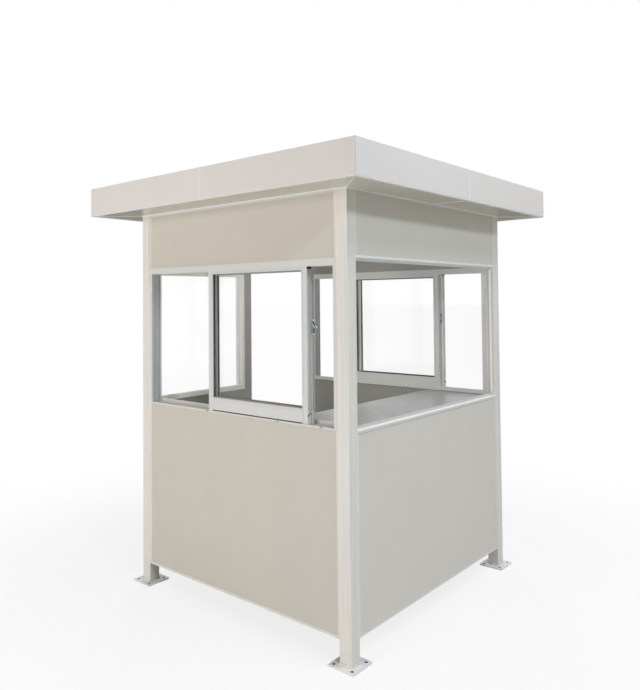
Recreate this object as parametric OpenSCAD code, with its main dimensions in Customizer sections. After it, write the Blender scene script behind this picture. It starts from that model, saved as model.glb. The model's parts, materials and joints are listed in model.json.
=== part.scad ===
// Guard booth of square steel posts, sandwich panels and aluminium sliding windows.
// Frame: origin on the ground at the middle of the plan, +X right, +Y back, +Z up.
// The front carries a two-sash window, the right side a fixed pane over a counter,
// the back a two-sash window, and the left side a fixed pane beside the doorway.

/* [Cabin] */
// Width over the posts, along X
cabin_w = 1500; // [1300:10:2200]
// Depth over the posts, along Y
cabin_d = 1500; // [1300:10:2200]
// Height of the underside of the roof
soffit_z = 2088; // [2040:1:2400]

/* [Posts and plates] */
// Side of each square steel post
post_size = 65; // [56:1:80]
// Outside corner radius of a post
post_r = 4; // [2:0.5:8]
// Side of each square base plate
plate_size = 140; // [115:1:180]
// Thickness of a base plate
plate_t = 8; // [5:1:16]
// Distance from a plate's edge to the centre of a bolt hole
hole_inset = 20; // [14:1:24]
// Diameter of a bolt hole
hole_d = 14; // [9:1:18]

/* [Walls] */
// Thickness of the folded angles round the panels' edges
angle_t = 1.5; // [1:0.5:3]
// Width of an angle's flange over the panel's outer face
angle_w = 12; // [6:1:20]
// Thickness of a wall sandwich panel
panel_t = 50; // [40:1:56]
// How far a panel lies behind the outer face of the posts
panel_recess = 6; // [3:1:10]
// Height of the bottom edge of the walls above the ground
panel_bottom_z = 110; // [80:1:160]
// Height of the top edge of the lower panels
sill_z = 1016; // [900:1:1200]
// Height of the bottom edge of the upper panels
head_z = 1782; // [1650:1:1950]
// Height of the top of the doorway
door_head_z = 1980; // [1900:1:2030]
// Distance from mid-depth to the front face of the door post
door_post_y = 0; // [-150:1:80]
// Height of the threshold above the floor
threshold_rise = 6; // [2:1:15]

/* [Floor] */
// Height of the steel floor beams
floor_beam_h = 50; // [40:1:80]
// Width of the steel floor beams
floor_beam_w = 50; // [40:1:80]
// Thickness of the floor deck
deck_t = 18; // [12:1:30]

/* [Window frames] */
// How far a window frame lies behind the outer face of the posts
frame_setback = 3; // [0:0.5:8]
// Width of a frame's side members
jamb_w = 20; // [14:1:30]
// How far a closed sash reaches into a side member
jamb_engage = 5; // [3:1:8]
// Height of a frame's head member
head_h = 33; // [26:1:45]
// Wall thickness of a window extrusion
profile_t = 3; // [2:0.5:4]
// Height of the sill's outer lip and of its two rails
sill_rail_h = 8; // [6:0.5:12]
// Height of the sill's inner upstand
sill_back_h = 25; // [15:1:35]

/* [Sliding sashes] */
// Distance from the frame's outer face to the outer sash
sash_inset = 4; // [2:0.5:8]
// Gap behind each of the two sashes
sash_gap = 3.5; // [2:0.5:6]
// Width of a sash's side members
stile_w = 34; // [26:1:45]
// Height of a sash's bottom member
bottom_rail_h = 69; // [50:1:90]
// Height of a sash's top member
top_rail_h = 30; // [24:1:40]
// How far a sash reaches up into the head member
head_engage = 15; // [8:1:20]
// Thickness of window glass
glass_t = 5; // [3:1:8]
// How far glass is let into its sash or frame
glass_bite = 8; // [5:1:12]
// Distance that the front outer sash is slid open, from the right jamb
front_outer_open = 163; // [0:1:400]
// Distance that the front inner sash is slid open, from the left jamb
front_inner_open = 490; // [0:1:560]
// Distance that the back outer sash is slid open, from the right jamb
back_outer_open = 289; // [0:1:400]
// Distance that the back inner sash is slid open, from the left jamb
back_inner_open = 345; // [0:1:560]

/* [Right opening] */
// Thickness of the folded trim that caps the panels at the opening
trim_t = 2; // [1:0.5:3]
// Depth of the sill trim's flanges over the lower panel
sill_flange_h = 18; // [10:1:30]
// Depth of the head trim's flanges over the upper panel
head_flange_h = 12; // [8:1:25]
// Height of the two ribs that hold the pane in each trim
pane_rib_h = 10; // [6:1:16]

/* [Counter] */
// Depth of the counter from the right wall
counter_depth = 420; // [250:5:500]
// Thickness of the counter top
counter_t = 30; // [18:1:45]
// Radius of the counter's front edge
counter_r = 7; // [2:1:9]
// Height of the counter's top surface
counter_z = 1013; // [850:1:1014]

/* [Roof] */
// How far the roof reaches past the posts on every side
overhang = 206; // [120:1:350]
// Height of the fascia
fascia_h = 159; // [130:1:240]
// Thickness of the folded sheet of the fascia and the soffit
sheet_t = 2; // [1.5:0.5:4]
// Outside radius of the fascia's bends
bend_r = 4; // [3:0.5:8]
// Width of the fascia's top flange
top_flange_w = 35; // [25:1:70]
// Height of the turned-down edge of the top flange
top_return_h = 14; // [6:1:20]
// Width of the fascia's bottom flange
bottom_flange_w = 25; // [15:1:40]
// Thickness of the roof sandwich panel between its ribs
roof_t = 50; // [40:1:60]
// How far the roof panel lies below the top of the fascia
roof_drop = 30; // [24:1:40]
// Distance between the roof panel's ribs
rib_pitch = 250; // [180:10:400]
// Width of a rib at its foot
rib_w = 42; // [30:1:60]
// Width of a rib at its top
rib_top_w = 22; // [14:1:28]
// Gap between the ribs and the fascia's turned edge
rib_clear = 1; // [0.5:0.5:4]
// Thickness of the ceiling panel
ceiling_t = 20; // [10:1:40]
// Width of the joint between the two lengths of sheet on a side
sheet_joint = 1.2; // [0.6:0.2:3]
// Width of the mitre joint at a corner, measured along the side
mitre_joint = 0.4; // [0.2:0.1:2]

/* [Fittings] */
// Length of a sash latch
latch_len = 74; // [50:1:100]
// Width of a sash latch
latch_w = 16; // [10:1:18]
// Height of the middle of a sash latch
latch_z = 1469; // [1300:1:1550]

/* [Hidden] */

$fn = 32;
eps = 1;                                    // overshoot of a cutting body
hw = cabin_w / 2;
hd = cabin_d / 2;
bay_x = hw - post_size;                     // half the clear width between posts, along X
bay_y = hd - post_size;                     // half the clear width between posts, along Y
out_x = hw - panel_recess;                  // outer face of the left and right panels
out_y = hd - panel_recess;                  // outer face of the front and back panels
in_x = out_x - panel_t;                     // inner face of the left and right panels
in_y = out_y - panel_t;                     // inner face of the front and back panels
roof_top_z = soffit_z + fascia_h;
roof_deck_z = roof_top_z - roof_drop - roof_t; // underside of the roof sandwich panel
roof_beam_h = roof_deck_z - soffit_z;
floor_z = panel_bottom_z + floor_beam_h + deck_t;
notch_x = in_x - bay_x;                     // how far the room reaches past a post, along X
notch_y = in_y - bay_y;
bay_w = 2 * bay_x;                          // width of the front and back bays
bay_d = 2 * bay_y;                          // width of the right bay
left_w = bay_y + door_post_y;               // width of the bay between the door post and the front
door_y0 = door_post_y + post_size;          // front edge of the doorway
door_w = bay_y - door_y0;                   // width of the doorway
fit = 0.3;                                  // running clearance of a sash on its rails
open_h = head_z - sill_z;                   // height of a window opening
frame_depth = post_size - frame_setback;    // a frame ends flush with the posts inside
steel = "#dedad4";
front_skin = "#c9c2b4";
side_skin = "#bfbdb6";
alu = "#eceae6";
pane = [0.75, 0.85, 0.87, 0.35];

// Box from its low corner to its high corner
module span(lo, hi) {
    translate(lo) cube(hi - lo);
}

// Square tube outline with round corners, standing on its low corner
module post_outline() {
    translate([post_r, post_r])
        for (x = [0, post_size - 2 * post_r], y = [0, post_size - 2 * post_r])
            translate([x, y]) circle(post_r);
    translate([post_r, 0]) square([post_size - 2 * post_r, post_size]);
    translate([0, post_r]) square([post_size, post_size - 2 * post_r]);
}

module post(x, y, z0, z1) {
    color(steel) translate([x, y, z0]) linear_extrude(z1 - z0) post_outline();
}

// A corner post stands on its plate and carries the roof panel
module corner_post(sx, sy) {
    post(sx > 0 ? bay_x : -hw, sy > 0 ? bay_y : -hd, plate_t, roof_deck_z);
}

// A plate centred under each corner post, with four bolt holes
module base_plates() {
    hole_at = plate_size / 2 - hole_inset;
    color(steel)
        for (sx = [-1, 1], sy = [-1, 1])
            translate([sx * (hw - post_size / 2), sy * (hd - post_size / 2), 0])
                difference() {
                    translate([-plate_size / 2, -plate_size / 2, 0])
                        cube([plate_size, plate_size, plate_t]);
                    for (hx = [-1, 1], hy = [-1, 1])
                        translate([hx * hole_at, hy * hole_at, -eps])
                            cylinder(d = hole_d, h = plate_t + 2 * eps);
                }
}

// The door post stands beside the left floor beam and ends under the left roof beam
module door_post() {
    post(-hw, door_post_y, panel_bottom_z, soffit_z);
}

module floor_beams_long() {
    color(steel) for (s = [-1, 1])
        span([-bay_x, s > 0 ? in_y - floor_beam_w : -in_y, panel_bottom_z],
            [bay_x, s > 0 ? in_y : -in_y + floor_beam_w, panel_bottom_z + floor_beam_h]);
}

// The left beam stops against the door post, so it lies inside the posts
module floor_beams_short() {
    reach = in_y - floor_beam_w;
    color(steel) for (s = [-1, 1])
        span([s > 0 ? bay_x - floor_beam_w : -bay_x, -reach, panel_bottom_z],
            [s > 0 ? bay_x : -bay_x + floor_beam_w, reach, panel_bottom_z + floor_beam_h]);
}

// Sheet that fills the room between the panels, notched round the posts
module room_sheet(z0, t) {
    translate([0, 0, z0]) difference() {
        translate([-in_x, -in_y, 0]) cube([2 * in_x, 2 * in_y, t]);
        for (sx = [-1, 1], sy = [-1, 1])
            translate([sx > 0 ? bay_x : -in_x - eps, sy > 0 ? bay_y : -in_y - eps, -eps])
                cube([notch_x + eps, notch_y + eps, t + 2 * eps]);
        translate([-in_x - eps, door_post_y, -eps])
            cube([notch_x + eps, post_size, t + 2 * eps]);
    }
}

module floor_deck() {
    color("#8f9088") room_sheet(panel_bottom_z + floor_beam_h, deck_t);
}

module door_threshold() {
    color(steel)
        span([-out_x, door_y0, panel_bottom_z], [-in_x, bay_y, floor_z + threshold_rise]);
}

// A panel fills a bay from z0 to z1, drawn with its outer face at y = 0, and stops short of
// the posts by the thickness of its edge angles
module panel(w, z0, z1) {
    translate([angle_t, 0, z0]) cube([w - 2 * angle_t, panel_t, z1 - z0]);
}

module lower_panel(w) { panel(w, panel_bottom_z + angle_t, sill_z); }
module upper_panel(w, low_z) { panel(w, low_z, soffit_z - angle_t); }

// Angles round a panel's edge, each with its web outside the edge and its flange lapping over
// the outer face; low and high say whether the bottom and the top are closed too
module edge_angles(w, z0, z1, low, high) {
    web_low = low ? angle_t : -eps;
    web_high = high ? angle_t : -eps;
    flange_low = low ? angle_w : -eps;
    flange_high = high ? angle_w : -eps;
    difference() {
        translate([0, -angle_t, z0]) cube([w, panel_t + angle_t, z1 - z0]);
        translate([angle_t, 0, z0 + web_low])
            cube([w - 2 * angle_t, panel_t + eps, z1 - z0 - web_low - web_high]);
        translate([angle_w, -angle_t - eps, z0 + flange_low])
            cube([w - 2 * angle_w, panel_t + angle_t + 2 * eps, z1 - z0 - flange_low - flange_high]);
    }
}

// Places what is drawn along X, outer face at y = 0, into each side's bay
module on_front() { translate([-bay_x, -out_y, 0]) children(); }
module on_back() { translate([-bay_x, out_y, 0]) mirror([0, 1, 0]) children(); }
module on_right() { translate([out_x, -bay_y, 0]) rotate([0, 0, 90]) children(); }
module on_left(front_y) {
    translate([-out_x, front_y, 0]) mirror([1, 0, 0]) rotate([0, 0, 90]) children();
}

module front_lower_panel() { color(front_skin) on_front() lower_panel(bay_w); }
module right_lower_panel() { color(side_skin) on_right() lower_panel(bay_d); }
module back_lower_panel() { color(front_skin) on_back() lower_panel(bay_w); }
module left_lower_panel() { color(side_skin) on_left(-bay_y) lower_panel(left_w); }
module front_upper_panel() { color(front_skin) on_front() upper_panel(bay_w, head_z); }
module right_upper_panel() { color(side_skin) on_right() upper_panel(bay_d, head_z); }
module back_upper_panel() { color(front_skin) on_back() upper_panel(bay_w, head_z); }
module left_upper_panel() { color(side_skin) on_left(-bay_y) upper_panel(left_w, head_z); }
module door_head_panel() {
    color(side_skin) on_left(door_y0) upper_panel(door_w, door_head_z + angle_t);
}

// On the right the angles stop where the trims of the opening lap over the panels
module panel_edge_angles() {
    color(steel) {
        for (upper = [false, true]) {
            z0 = upper ? head_z : panel_bottom_z;
            z1 = upper ? soffit_z : sill_z;
            on_front() edge_angles(bay_w, z0, z1, !upper, upper);
            on_back() edge_angles(bay_w, z0, z1, !upper, upper);
            on_left(-bay_y) edge_angles(left_w, z0, z1, !upper, upper);
        }
        on_left(door_y0) edge_angles(door_w, door_head_z, soffit_z, true, true);
        on_right() edge_angles(bay_d, panel_bottom_z, sill_z - sill_flange_h, true, false);
        on_right() edge_angles(bay_d, head_z + head_flange_h, soffit_z, false, true);
    }
}

// Outline of a window frame's sill, outer face at y = 0: outer lip, two rails, inner upstand
module sill_outline(rails) {
    square([frame_depth, profile_t]);
    square([profile_t, sill_rail_h]);
    if (rails)
        for (y = [outer_y, inner_y])
            translate([y + (sash_t - profile_t) / 2, 0]) square([profile_t, sill_rail_h]);
    translate([frame_depth - profile_t, 0]) square([profile_t, sill_back_h]);
}

// Outline of the head: a box with one slot over each sash
module head_outline(rails) {
    difference() {
        translate([0, -head_h]) square([frame_depth, head_h]);
        if (rails)
            for (y = [outer_y, inner_y])
                translate([y - fit, -head_h - eps])
                    square([sash_t + 2 * fit, head_engage + fit + eps]);
    }
}

// Extrudes an outline drawn as [depth, height] along X over a length
module along_x(len) {
    rotate([90, 0, 90]) linear_extrude(len) children();
}

// Plan outline of the left side member, with a slot for each closed sash
module jamb_outline(rails) {
    difference() {
        square([jamb_w, frame_depth]);
        if (rails)
            for (y = [outer_y, inner_y])
                translate([jamb_w - jamb_engage - fit, y - fit])
                    square([jamb_engage + fit + eps, sash_t + 2 * fit]);
    }
}

// Window frame seen from outside: opening from x = 0 to w, z = 0 to open_h, outer face y = 0
module window_frame(w, rails) {
    union() {
        along_x(w) sill_outline(rails);
        translate([0, 0, open_h]) along_x(w) head_outline(rails);
        for (m = [0, 1])
            translate([m * w, 0, profile_t - eps]) mirror([m, 0, 0])
                linear_extrude(open_h - profile_t - head_h + 2 * eps) jamb_outline(rails);
    }
}

// Both sashes share the frame's depth between its outer lip and its inner upstand
sash_t = (frame_depth - profile_t - sash_inset - 2 * sash_gap) / 2;
sash_z = sill_rail_h;                       // a sash stands on the rails of the sill
sash_h = open_h - sash_z - head_h + head_engage;
pane_z = sash_z + bottom_rail_h;            // visible bottom of a sash's glass
pane_h = sash_h - bottom_rail_h - top_rail_h;
function sash_w(w) = (w - 2 * jamb_w + 2 * jamb_engage + stile_w) / 2;

// Sash of a window of width w, its left edge at x, its outer face at y
module sash(w, x, y) {
    sw = sash_w(w);
    translate([x, y, sash_z]) difference() {
        cube([sw, sash_t, sash_h]);
        translate([stile_w, -eps, bottom_rail_h])
            cube([sw - 2 * stile_w, sash_t + 2 * eps, pane_h]);
        translate([stile_w - glass_bite, (sash_t - glass_t) / 2, bottom_rail_h - glass_bite])
            cube([sw - 2 * stile_w + 2 * glass_bite, glass_t, pane_h + 2 * glass_bite]);
    }
}

module sash_glass(w, x, y) {
    translate([x + stile_w - glass_bite, y + (sash_t - glass_t) / 2, pane_z - glass_bite])
        cube([sash_w(w) - 2 * stile_w + 2 * glass_bite, glass_t, pane_h + 2 * glass_bite]);
}

outer_y = sash_inset;                       // outer face of the outer sash
inner_y = sash_inset + sash_t + sash_gap;   // outer face of the inner sash
closed_left = jamb_w - jamb_engage;         // left edge of a closed left sash
closed_right = bay_w - closed_left - sash_w(bay_w);
front_outer_x = closed_right - front_outer_open;
front_inner_x = closed_left + front_inner_open;
back_outer_x = closed_right - back_outer_open;
back_inner_x = closed_left + back_inner_open;

// Puts a window drawn from its lower left corner into the front opening
module at_front() {
    translate([-bay_x, -hd + frame_setback, sill_z]) children();
}

// The back window is the front's mirror image, so left and right stay the same in plan
module at_back() {
    translate([-bay_x, hd - frame_setback, sill_z]) mirror([0, 1, 0]) children();
}

module at_left() {
    translate([-hw + frame_setback, door_post_y, sill_z]) rotate([0, 0, -90]) children();
}

module front_window_frame() { color(alu) at_front() window_frame(bay_w, true); }
module front_outer_sash() { color(alu) at_front() sash(bay_w, front_outer_x, outer_y); }
module front_inner_sash() { color(alu) at_front() sash(bay_w, front_inner_x, inner_y); }
module back_window_frame() { color(alu) at_back() window_frame(bay_w, true); }
module back_outer_sash() { color(alu) at_back() sash(bay_w, back_outer_x, outer_y); }
module back_inner_sash() { color(alu) at_back() sash(bay_w, back_inner_x, inner_y); }

module front_window_glass() {
    color(pane) at_front() {
        sash_glass(bay_w, front_outer_x, outer_y);
        sash_glass(bay_w, front_inner_x, inner_y);
    }
}

module back_window_glass() {
    color(pane) at_back() {
        sash_glass(bay_w, back_outer_x, outer_y);
        sash_glass(bay_w, back_inner_x, inner_y);
    }
}

// The left pane sits in a groove halfway through its frame
pane_y = (frame_depth - glass_t) / 2;
module left_pane(grow) {
    low = sill_back_h - glass_bite;
    translate([jamb_w - glass_bite, pane_y, low])
        cube([left_w - 2 * jamb_w + 2 * glass_bite, glass_t,
            open_h - head_h + glass_bite - low + grow]);
}

module left_window_frame() {
    color(alu) at_left() difference() {
        union() {
            window_frame(left_w, false);
            translate([0, pane_y - 8, 0]) cube([left_w, glass_t + 16, sill_back_h]);
        }
        left_pane(0);
    }
}

module left_window_glass() { color(pane) at_left() left_pane(0); }

// Cap over a panel edge with rounded corners, and two ribs that hold the pane
module edge_trim(flange_h) {
    half = panel_t / 2 + trim_t;
    round_r = 3 * trim_t;                   // the panel's square corner stays inside this round
    difference() {
        union() {
            translate([-half, -flange_h]) square([2 * half, flange_h + trim_t - round_r]);
            translate([-half + round_r, -flange_h])
                square([2 * (half - round_r), flange_h + trim_t]);
            for (s = [-1, 1])
                translate([s * (half - round_r), trim_t - round_r]) circle(round_r);
        }
        translate([-panel_t / 2, -flange_h - eps]) square([panel_t, flange_h + eps]);
    }
    for (s = [-1, 1])
        translate([s > 0 ? glass_t / 2 : -glass_t / 2 - trim_t, 0])
            square([trim_t, trim_t + pane_rib_h]);
}

pane_mid_x = out_x - panel_t / 2;           // the right pane stands in the middle of the wall

module right_sill_trim() {
    color(alu) translate([pane_mid_x, bay_y, sill_z])
        rotate([90, 0, 0]) linear_extrude(2 * bay_y) edge_trim(sill_flange_h);
}

module right_head_trim() {
    color(alu) translate([pane_mid_x, bay_y, head_z])
        rotate([90, 0, 0]) linear_extrude(2 * bay_y)
            mirror([0, 1]) edge_trim(head_flange_h);
}

module right_window_glass() {
    color(pane)
        span([pane_mid_x - glass_t / 2, -bay_y, sill_z + trim_t],
            [pane_mid_x + glass_t / 2, bay_y, head_z - trim_t]);
}

// Counter along the right wall, held by the right, front and back panels
module counter() {
    top_x = in_x - trim_t;
    front_x = in_x - counter_depth;
    color("#dfe4e6") difference() {
        translate([0, in_y, counter_z]) rotate([90, 0, 0])
            linear_extrude(2 * in_y) counter_outline(front_x, top_x);
        for (s = [-1, 1])
            translate([bay_x, s > 0 ? bay_y : -in_y - eps, counter_z - counter_t - eps])
                cube([notch_x + eps, notch_y + eps, counter_t + 2 * eps]);
    }
}

// Section of the counter top with its surface at 0 and a rounded front edge
module counter_outline(front_x, top_x) {
    translate([front_x + counter_r, -counter_t])
        square([top_x - front_x - counter_r, counter_t]);
    translate([front_x, -counter_t + counter_r])
        square([counter_r + eps, counter_t - 2 * counter_r]);
    for (z = [-counter_r, -counter_t + counter_r])
        translate([front_x + counter_r, z]) circle(counter_r);
}

// Latch case on the free edge of each inner sash, with its hook
module latch() {
    case_d = 9;
    cube([case_d, latch_w, latch_len]);
    translate([0, latch_w / 2 - 3, latch_len * 0.55]) cube([case_d + 8, 6, 9]);
}

module sash_latches() {
    sw = sash_w(bay_w);
    y = inner_y + (sash_t - latch_w) / 2;
    z = latch_z - sill_z - latch_len / 2;
    color("#c8ccce") {
        at_front() translate([front_inner_x + sw, y, z]) latch();
        at_back() translate([back_inner_x + sw, y, z]) latch();
    }
}

module roof_beams_long() {
    color(steel) for (s = [-1, 1])
        span([-bay_x, s > 0 ? in_y : -out_y, soffit_z], [bay_x, s > 0 ? out_y : -in_y, roof_deck_z]);
}

module roof_beams_short() {
    color(steel) for (s = [-1, 1])
        span([s > 0 ? in_x : -out_x, -bay_y, soffit_z], [s > 0 ? out_x : -in_x, bay_y, roof_deck_z]);
}

module ceiling_panel() {
    color("#e4e2dd") room_sheet(soffit_z, ceiling_t);
}

eave_x = hw + overhang;                     // outer face of the fascia
eave_y = hd + overhang;

// Half of one side's mitred plan, from the corner to the joint at mid-length
module mitre_half(half_len, depth) {
    polygon([[sheet_joint / 2, 0], [half_len - mitre_joint, 0],
        [half_len - depth - mitre_joint, depth], [sheet_joint / 2, depth]]);
}

// Quarter bend of the sheet about the origin, in the corner towards -x and -y
module bend() {
    intersection() {
        difference() {
            circle(bend_r);
            circle(bend_r - sheet_t);
        }
        translate([-bend_r, -bend_r]) square(bend_r);
    }
}

// Folded fascia section: web, bottom flange under the soffit, top flange with a turned edge
module fascia_outline() {
    translate([0, bend_r]) square([sheet_t, fascia_h - 2 * bend_r]);
    translate([bend_r, 0]) square([bottom_flange_w - bend_r, sheet_t]);
    translate([bend_r, fascia_h - sheet_t]) square([top_flange_w - bend_r, sheet_t]);
    translate([top_flange_w - sheet_t, fascia_h - top_return_h]) square([sheet_t, top_return_h]);
    translate([bend_r, bend_r]) bend();
    translate([bend_r, fascia_h - bend_r]) mirror([0, 1]) bend();
}

// One side's fascia drawn along X with its outer face at y = 0, in two mitred lengths
module fascia(half_len) {
    for (m = [0, 1]) mirror([m, 0, 0])
        intersection() {
            along_x(half_len) fascia_outline();
            linear_extrude(fascia_h) mitre_half(half_len, top_flange_w + eps);
        }
}

module at_eave(turn, reach) {
    rotate([0, 0, turn]) translate([0, -reach, soffit_z]) children();
}

module fascia_front() { color("#dad7d3") at_eave(0, eave_y) fascia(eave_x); }
module fascia_right() { color("#cfd0cf") at_eave(90, eave_x) fascia(eave_y); }
module fascia_back() { color("#dad7d3") at_eave(180, eave_y) fascia(eave_x); }
module fascia_left() { color("#cfd0cf") at_eave(270, eave_x) fascia(eave_y); }

// Soffit sheets lie on the fascia's bottom flange and reach in to the faces of the walls
module soffit_side(half_len, depth) {
    start = bend_r;
    for (m = [0, 1]) mirror([m, 0, 0])
        translate([0, start, sheet_t]) linear_extrude(sheet_t)
            mitre_half(half_len - start, depth - start);
}

module soffit_panels() {
    in_depth = overhang + panel_recess;
    color("#cfccc6") difference() {
        union() {
            for (t = [0, 180]) at_eave(t, eave_y) soffit_side(eave_x, in_depth);
            for (t = [90, 270]) at_eave(t, eave_x) soffit_side(eave_y, in_depth);
        }
        for (sx = [-1, 1], sy = [-1, 1])
            translate([sx > 0 ? bay_x - fit : -hw - fit, sy > 0 ? bay_y - fit : -hd - fit, soffit_z])
                cube([post_size + 2 * fit, post_size + 2 * fit, 3 * sheet_t]);
    }
}

// Roof sandwich panel with ribs from front to back that pass under the fascia's turned edge
module roof_deck() {
    half = eave_x - sheet_t;
    rib_z = roof_t + roof_drop - top_return_h - rib_clear;
    steps = floor((half - top_flange_w - rib_w / 2) / rib_pitch);
    outline = concat([[-half, 0], [half, 0], [half, roof_t]],
        [for (i = [steps:-1:-steps], p = [[rib_w, roof_t], [rib_top_w, rib_z],
            [-rib_top_w, rib_z], [-rib_w, roof_t]]) [i * rib_pitch + p[0] / 2, p[1]]],
        [[-half, roof_t]]);
    color("#d9d7d3") translate([0, eave_y - sheet_t, roof_deck_z]) rotate([90, 0, 0])
        linear_extrude(2 * (eave_y - sheet_t)) polygon(outline);
}

base_plates();
corner_post(-1, -1);  // post_front_left
corner_post(1, -1);  // post_front_right
corner_post(-1, 1);  // post_back_left
corner_post(1, 1);  // post_back_right
door_post();
floor_beams_long();
floor_beams_short();
floor_deck();
door_threshold();
front_lower_panel();
right_lower_panel();
back_lower_panel();
left_lower_panel();
front_upper_panel();
right_upper_panel();
back_upper_panel();
left_upper_panel();
door_head_panel();
front_window_frame();
front_outer_sash();
front_inner_sash();
front_window_glass();
back_window_frame();
back_outer_sash();
back_inner_sash();
back_window_glass();
left_window_frame();
left_window_glass();
panel_edge_angles();
right_sill_trim();
right_head_trim();
right_window_glass();
counter();
sash_latches();
roof_beams_long();
roof_beams_short();
ceiling_panel();
soffit_panels();
roof_deck();
fascia_front();
fascia_right();
fascia_back();
fascia_left();
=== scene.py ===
"""Guard booth: finishes, sashes, seals, latches, trims, welds and screws on the packed frame."""

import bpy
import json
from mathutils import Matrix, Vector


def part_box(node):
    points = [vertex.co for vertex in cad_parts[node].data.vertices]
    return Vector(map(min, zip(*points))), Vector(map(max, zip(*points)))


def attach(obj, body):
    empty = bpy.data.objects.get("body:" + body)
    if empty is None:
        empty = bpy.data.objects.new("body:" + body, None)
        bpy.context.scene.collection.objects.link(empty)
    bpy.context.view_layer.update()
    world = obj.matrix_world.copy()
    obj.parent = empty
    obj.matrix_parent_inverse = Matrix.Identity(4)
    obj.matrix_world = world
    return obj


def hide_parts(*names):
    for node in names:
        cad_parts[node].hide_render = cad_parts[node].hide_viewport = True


bl_info = {
    "name": "Guard Booth Finishes",
    "version": (1, 0, 0),
    "blender": (4, 5, 0),
    "location": "3D View > Sidebar > Booth",
    "description": "Finishes and small fittings for a steel guard booth with sliding windows",
    "category": "Object",
}

import json
import math

import bmesh
import bpy
from mathutils import Matrix, Vector

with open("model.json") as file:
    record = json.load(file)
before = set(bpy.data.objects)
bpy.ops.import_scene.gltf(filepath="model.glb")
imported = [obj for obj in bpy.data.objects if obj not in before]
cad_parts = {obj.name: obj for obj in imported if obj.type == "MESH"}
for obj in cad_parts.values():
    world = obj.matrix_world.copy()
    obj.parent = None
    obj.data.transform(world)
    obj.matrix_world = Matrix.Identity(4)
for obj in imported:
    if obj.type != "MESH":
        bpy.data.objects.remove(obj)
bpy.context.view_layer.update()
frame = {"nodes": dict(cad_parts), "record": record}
NODES = frame["nodes"]
BODY = "root"
MM = 0.001


# ---------------------------------------------------------------- colours and sizes

def linear(code):
    """Linear red, green and blue of an sRGB hex colour."""
    channels = [int(code[i:i + 2], 16) / 255 for i in (1, 3, 5)]
    return [c / 12.92 if c <= 0.04045 else ((c + 0.055) / 1.055) ** 2.4 for c in channels]


def colour(name, description, code):
    """A colour property with an sRGB hex default."""
    return bpy.props.FloatVectorProperty(
        name=name, description=description, default=linear(code),
        subtype="COLOR", size=3, min=0, max=1)


def length(name, description, millimetres):
    """A length property with its default in millimetres."""
    return bpy.props.FloatProperty(
        name=name, description=description, default=millimetres * MM,
        unit="LENGTH", min=0, precision=4)


def watts(name, description, power):
    """A lamp's power."""
    return bpy.props.FloatProperty(
        name=name, description=description + ", in watts", default=power, min=0)


class BoothColours(bpy.types.PropertyGroup):
    """Colours of the booth's finishes."""
    enamel: colour("Post enamel", "Sprayed enamel on the posts and plates", "#e0dbd2")
    # Lighter than the posts' enamel: painted light for the strong light on the plates' tops.
    plate: colour("Base plate enamel", "Enamel on the four base plates", "#eae9e6")
    # Nearly black: painted shade inside the bolt holes, on bare steel.
    bare_steel_and_shade: colour("Bare steel", "Walls of the bolt holes", "#34322f")
    primer: colour("Primer", "Primer on the hidden beams", "#8d8d89")
    skin_front: colour("Front and back skin", "Coil coat of those panels", "#c8c3b6")
    # Lighter than the front and back skin to make up for the dimmer light on the sides: painted light
    # on the same coat.
    skin_side_lightened: colour("Side skin", "Coil coat of the left and right panels", "#d8d2c7")
    # Room-side lining, darker than the real coat: painted shade for the dim inside of the booth.
    lining_and_shade: colour("Lining", "Coil coat of the wall panels' room side", "#93938a")
    # Darker than the real white ceiling coat: painted shade for the dim inside.
    ceiling: colour("Ceiling", "Coil coat of the ceiling", "#8a8a83")
    soffit: colour("Soffit", "Glossy coat of the soffit sheets", "#cdc8b8")
    fascia: colour("Fascia", "Semi-gloss coat of the fascia", "#d9d4ce")
    roof: colour("Roof", "Coil coat of the roof sheet", "#d9d7d1")
    aluminium: colour("Window white", "Powder coat on the window profiles", "#d5d4d0")
    # Also on the left window's frame, as painted light there.
    trim: colour("Bright trim", "Powder coat on the trims and cover strips", "#efeeea")
    # Whiter than the other trims: a painted highlight on the nosing's white powder coat.
    nosing: colour("Sill nosing", "Powder coat on the right sill's nosing", "#fff9ef")
    glass: colour("Glass", "Tint of the window glass", "#ffffff")
    counter: colour("Counter", "Gloss laminate of the counter", "#939590")
    vinyl: colour("Floor", "Vinyl sheet on the floor", "#8f9088")
    # Also the black of the weep, latch, screw and sash-foot marks that stand in for shade.
    gasket: colour("Gasket", "Rubber of the glazing gaskets", "#1b1c1c")
    liner: colour("Jamb liner", "Vinyl strips on the window frames' jambs", "#b2b5b5")
    # Also the grey shade line under the right sill's flange.
    bead: colour("Outer bead", "Pale rubber on the weather side of the glass", "#8f8f89")
    zinc: colour("Zinc", "Zinc plating on latches and screws", "#c6c9cb")
    knob: colour("Knob", "Nylon of the sash stop", "#eef0f0")


class BoothSizes(bpy.types.PropertyGroup):
    """Sizes of the small parts, in the frame's metres."""
    stile_groove: length("Stile groove", "Groove from the stile's glass edge", 9)
    foot_gap: length("Sash foot gap", "Shadow gap under a sash's outer lip", 8)
    gasket_width: length("Gasket width", "Rubber seen beside a profile's edge", 6)
    gasket_lip: length("Gasket lip", "How far the rubber's lip stands off the glass", 2.4)
    trim_drop: length("Soffit trim drop", "Height of the trim under the soffit", 7)
    strip_width: length("Cover strip", "Width of the strips over the soffit's joints", 7)
    weld_leg: length("Weld leg", "Leg of the fillet weld at a post's foot", 6)
    weld_pitch: length("Weld ripple", "Distance from one weld ripple to the next", 4.5)
    screw_head: length("Roof screw head", "Width across the hexagon head", 8)
    screw_rows: bpy.props.IntProperty(
        name="Roof screw rows", description="Screws along each roof rib", default=7, min=2)


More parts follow.
